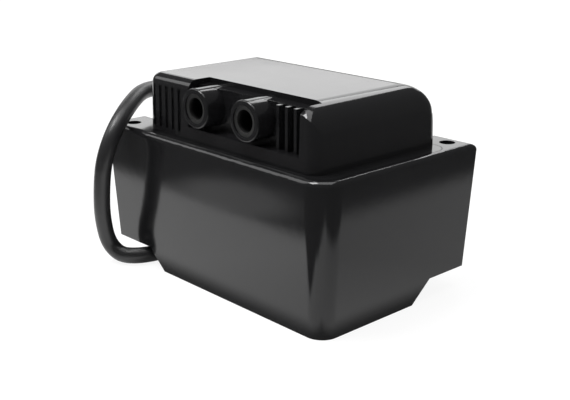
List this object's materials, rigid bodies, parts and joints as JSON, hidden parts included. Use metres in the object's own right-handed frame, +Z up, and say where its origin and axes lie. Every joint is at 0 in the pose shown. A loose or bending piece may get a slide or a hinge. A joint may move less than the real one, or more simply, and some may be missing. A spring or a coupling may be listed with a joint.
{
  "type": "ignition transformer",
  "caption": "Potted ignition transformer for a burner: drafted tub with diagonal mounting lugs, stepped cover with high voltage outlets, and a mains lead.",
  "frame": {"origin": "on the ground, under the middle of the housing's outline with both lugs", "axes": "+X along the long front face, +Y from the front face to the back, +Z up; the outlets look along -Y"},
  "size_m": [0.1421, 0.1643, 0.077],
  "materials": {
    "black_moulding": "glossy injection-moulded thermoplastic",
    "resin": "cast potting resin, sealed in",
    "insulator": "moulded insulator, semi-gloss",
    "brass_pin": "turned or stamped brass",
    "lamination": "stacked electrical-steel laminations, sealed in",
    "bobbin": "moulded coil former, sealed in",
    "copper_wire": "enamelled copper wire, sealed in",
    "tape": "insulating tape, sealed in",
    "silicone_lead": "silicone-covered lead, sealed in",
    "soft_black": "satin soft moulding",
    "sheath": "satin flexible sheath",
    "tie": "moulded tie strap",
    "core_brown": "insulated core, brown",
    "core_blue": "insulated core, blue",
    "core_earth": "insulated core, green with a yellow stripe",
    "tinned": "tinned crimped end with a plastic collar"
  },
  "bodies": {
    "root": {"housing": "black_moulding", "cover": "black_moulding", "potting_resin": "resin", "outlet_insulator_left": "insulator", "outlet_insulator_right": "insulator", "outlet_pin_left": "brass_pin", "outlet_pin_right": "brass_pin", "core_e": "lamination", "core_i": "lamination", "shunts_left": "lamination", "shunts_right": "lamination", "primary_bobbin": "bobbin", "secondary_bobbin_left": "bobbin", "secondary_bobbin_right": "bobbin", "primary_winding": "copper_wire", "secondary_winding_left": "copper_wire", "secondary_winding_right": "copper_wire", "primary_tape": "tape", "secondary_tape_left": "tape", "secondary_tape_right": "tape", "hv_lead_left": "silicone_lead", "hv_lead_right": "silicone_lead", "strain_relief": "soft_black", "inner_core_brown": "core_brown", "inner_core_blue": "core_blue", "inner_core_earth": "core_earth", "earth_tag": "brass_pin", "mains_cable": "sheath", "cable_coil": "sheath", "cable_tail": "sheath", "coil_tie": "tie", "core_brown": "core_brown", "core_blue": "core_blue", "core_earth": "core_earth", "ferrule_brown": "tinned", "ferrule_blue": "tinned", "ferrule_earth": "tinned"}
  },
  "joints": []
}
